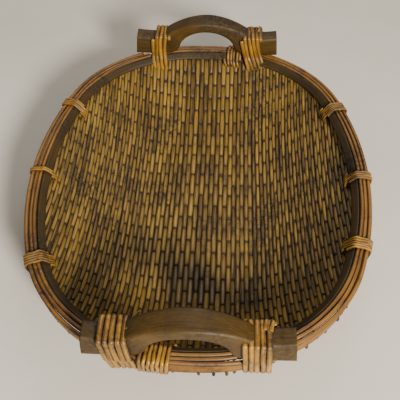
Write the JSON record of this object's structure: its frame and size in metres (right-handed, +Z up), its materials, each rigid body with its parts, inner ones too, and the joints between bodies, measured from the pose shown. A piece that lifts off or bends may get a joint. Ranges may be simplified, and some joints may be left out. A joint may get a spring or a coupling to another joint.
{
  "type": "winnowing basket",
  "caption": "Shallow oval woven tray with a bound rod rim and two arched wooden grips, for tossing grain clean of chaff.",
  "frame": {"origin": "on the ground under the middle of the flat bottom, at the centre of the bounding box's base", "axes": "+Z up, +Y along the length towards the rear handle, +X to the right seen from the front handle"},
  "size_m": [0.4667, 0.5961, 0.154],
  "materials": {
    "weave": "satin, grimy peeled willow rods on hemp cord",
    "rim_rod": "satin, peeled willow",
    "hoop_inner": "matt, weathered split wood",
    "hoop_outer": "satin, split wood",
    "handle": "worn, weathered hardwood",
    "cane": "glossy, cane"
  },
  "bodies": {
    "root": {"front_handle": "handle", "front_inner_rod": "rim_rod", "front_left_lashing": "cane", "front_middle_rod": "rim_rod", "front_outer_rod": "rim_rod", "front_right_lashing": "cane", "front_rod_binding": "cane", "inner_rim_hoop": "hoop_inner", "left_front_binding": "cane", "left_inner_rod": "rim_rod", "left_middle_binding": "cane", "left_middle_rod": "rim_rod", "left_outer_rod": "rim_rod", "left_rear_binding": "cane", "outer_rim_hoop": "hoop_outer", "rear_handle": "handle", "rear_inner_rod": "rim_rod", "rear_left_lashing": "cane", "rear_middle_rod": "rim_rod", "rear_outer_rod": "rim_rod", "rear_right_lashing": "cane", "rear_rod_binding": "cane", "right_front_binding": "cane", "right_inner_rod": "rim_rod", "right_middle_binding": "cane", "right_middle_rod": "rim_rod", "right_outer_rod": "rim_rod", "right_rear_binding": "cane", "woven_bowl": "weave"}
  },
  "joints": []
}
